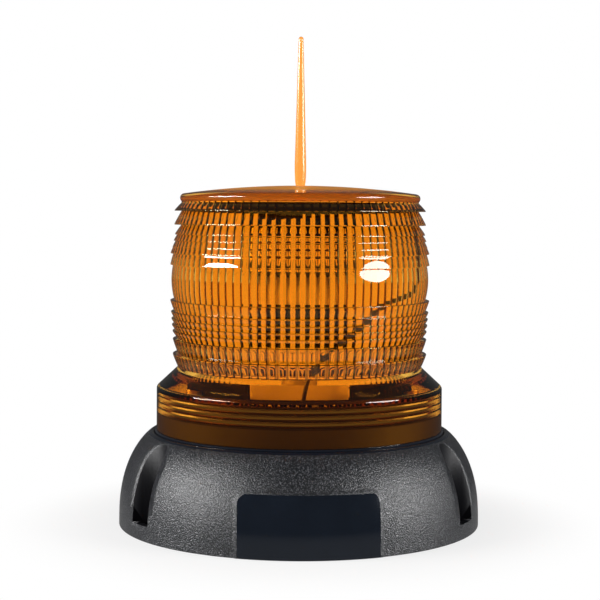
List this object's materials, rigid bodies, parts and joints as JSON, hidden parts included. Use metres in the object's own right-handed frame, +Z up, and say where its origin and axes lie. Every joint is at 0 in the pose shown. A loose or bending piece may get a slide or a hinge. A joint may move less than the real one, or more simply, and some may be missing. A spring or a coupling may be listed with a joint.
{
  "type": "solar warning light",
  "caption": "Solar warning light: a black domed base with screw pockets, an amber fresnel lens over a solar panel and LED module, and a bird spike on top.",
  "frame": {"origin": "middle of the base's underside, on the axis of the lens", "axes": "+Z up along the lens's axis, -Y towards the front with the smooth pad, +X to the viewer's right"},
  "size_m": [0.15, 0.1504, 0.2024],
  "materials": {
    "base_plastic": "fine-textured moulded, smooth glossy front pad",
    "seal_rubber": "smooth pressed",
    "lens_amber": "clear amber moulded polycarbonate",
    "spike_amber": "cloudy amber moulded",
    "tray_plastic": "moulded",
    "panel_laminate": "laminated",
    "cell_silicon": "coated silicon",
    "ribbon_metal": "tinned",
    "bond_silicone": "cured bead",
    "cap_plastic": "potted",
    "mast_plastic": "moulded",
    "hub_plastic": "moulded",
    "led_board_mask": "solder mask",
    "led_package": "phosphor and white body",
    "screw_steel": "zinc plated",
    "deck_plastic": "moulded",
    "board_mask": "solder mask",
    "coil_ferrite": "pressed ferrite",
    "capacitor_sleeve": "shrink sleeve",
    "chip_epoxy": "moulded",
    "socket_plastic": "moulded",
    "cell_can": "printed wrap, bare of print",
    "link_nickel": "rolled strip",
    "sleeve_film": "shrunk film",
    "foam": "closed-cell foam",
    "lead_black": "insulation",
    "lead_red": "insulation"
  },
  "bodies": {
    "root": {"base_housing": "base_plastic", "seal_ring": "seal_rubber", "lens": "lens_amber", "bird_spike": "spike_amber", "panel_tray": "tray_plastic", "panel_board": "panel_laminate", "solar_cells": "cell_silicon", "cell_ribbons": "ribbon_metal", "panel_bond": "bond_silicone", "junction_cap": "cap_plastic", "mast": "mast_plastic", "led_hub": "hub_plastic", "led_spacer": "mast_plastic", "led_board": "led_board_mask", "led_emitters": "led_package", "led_cap": "hub_plastic", "led_screws": "screw_steel", "deck_plate": "deck_plastic", "deck_screws": "screw_steel", "control_board": "board_mask", "board_screws": "screw_steel", "driver_coil": "coil_ferrite", "storage_capacitor": "capacitor_sleeve", "driver_chips": "chip_epoxy", "panel_socket": "socket_plastic", "battery_socket": "socket_plastic", "battery_cells": "cell_can", "battery_links": "link_nickel", "battery_sleeve": "sleeve_film", "battery_pad": "foam", "panel_lead": "lead_black", "battery_lead": "lead_red", "led_lead": "lead_black"}
  },
  "joints": []
}
